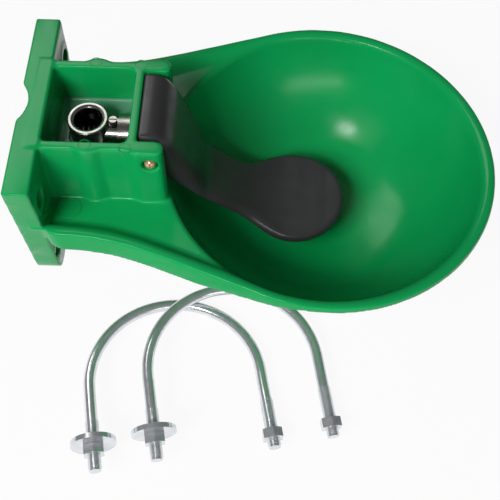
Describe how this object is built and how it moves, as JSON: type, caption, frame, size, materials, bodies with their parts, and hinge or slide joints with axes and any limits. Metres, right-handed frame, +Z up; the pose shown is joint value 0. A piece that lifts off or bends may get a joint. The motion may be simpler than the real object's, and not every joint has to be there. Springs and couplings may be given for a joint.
{
  "type": "livestock drinking bowl",
  "caption": "Wall or post mounted animal drinking bowl with a press paddle that opens a spring-loaded water valve, with loose U-bolts beside it.",
  "frame": {"origin": "middle of the four-hole pattern, on the back plane of the flange", "axes": "+X from the wall to the front of the bowl, +Y along the wall, +Z up"},
  "size_m": [0.3188, 0.324, 0.1361],
  "materials": {
    "green_plastic": "glossy moulded polypropylene",
    "black_plastic": "satin moulded plastic",
    "plated_brass": "nickel-plated brass",
    "brass": "turned brass",
    "bronze_screw": "copper-coloured plating",
    "zinc": "bright zinc-plated steel",
    "steel": "stainless steel",
    "rubber": "black sealing rubber"
  },
  "bodies": {
    "bowl": {"bowl_body": "green_plastic", "pivot_screw": "bronze_screw", "pivot_nut": "zinc", "valve_body": "plated_brass", "valve_gasket": "rubber", "valve_lock_nut": "plated_brass", "valve_seat": "brass", "seat_ring": "rubber", "flow_screw_ring": "rubber", "left_u_bolt": "zinc", "left_u_bolt_nuts": "zinc", "left_u_bolt_washers": "zinc", "right_u_bolt": "zinc", "right_u_bolt_nuts": "zinc", "right_u_bolt_washers": "zinc", "valve_spring": "steel"},
    "paddle": {"drinking_paddle": "black_plastic"},
    "stem": {"valve_stem": "steel", "stem_seal": "rubber", "seal_retainer": "brass"},
    "flow_screw": {"flow_screw": "plated_brass"}
  },
  "joints": [
    {"name": "paddle_swing", "type": "hinge", "parent": "bowl", "child": "paddle", "pos_m": [0.0865, 0, 0.042], "axis": [0, 1, 0], "range_deg": [0, 7], "stiffness_Nm_per_rad": 0.36, "springref_deg": -24.06},
    {"name": "stem_slide", "type": "slide", "parent": "bowl", "child": "stem", "axis": [-1, 0, 0], "range_m": [0, 0.0023], "deforming": ["valve_spring"]},
    {"name": "flow_screw_turn", "type": "hinge", "parent": "bowl", "child": "flow_screw", "pos_m": [0.0583, 0, 0.036], "axis": [0, 0, 1], "range_deg": [-180, 180]}
  ],
  "couplings": [
    {"joint": "stem_slide", "follows": "paddle_swing", "m_per_rad": 0.018}
  ]
}
